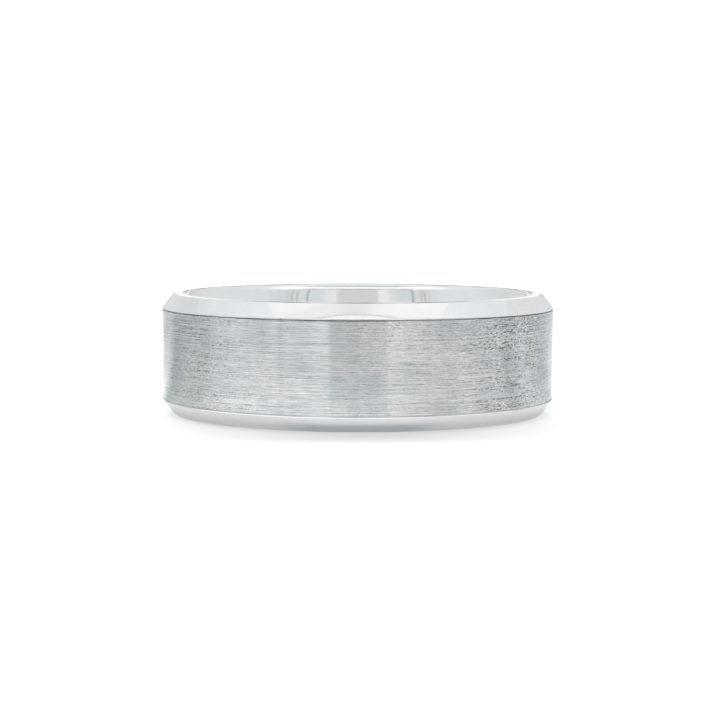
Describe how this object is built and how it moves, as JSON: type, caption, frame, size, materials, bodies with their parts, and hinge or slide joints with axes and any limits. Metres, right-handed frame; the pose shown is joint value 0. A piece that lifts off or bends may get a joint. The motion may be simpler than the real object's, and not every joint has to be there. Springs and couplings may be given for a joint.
{
  "type": "wedding band",
  "caption": "Flat comfort-fit wedding band: a satin-brushed centre sleeve between two polished bevelled edge rings, all seated on a polished inner liner.",
  "frame": {"origin": "centre of the finger hole, on its axis, halfway along the band's width", "axes": "+Z along the finger hole's axis; X and Y are any two directions across it, because the band is a body of revolution"},
  "size_m": [0.0228, 0.0228, 0.007],
  "materials": {
    "polished_bore": "polished",
    "brushed_face": "satin",
    "polished_bevel": "polished"
  },
  "bodies": {
    "root": {"comfort_liner": "polished_bore", "centre_sleeve": "brushed_face", "upper_edge_ring": "polished_bevel", "lower_edge_ring": "polished_bevel"}
  },
  "joints": []
}
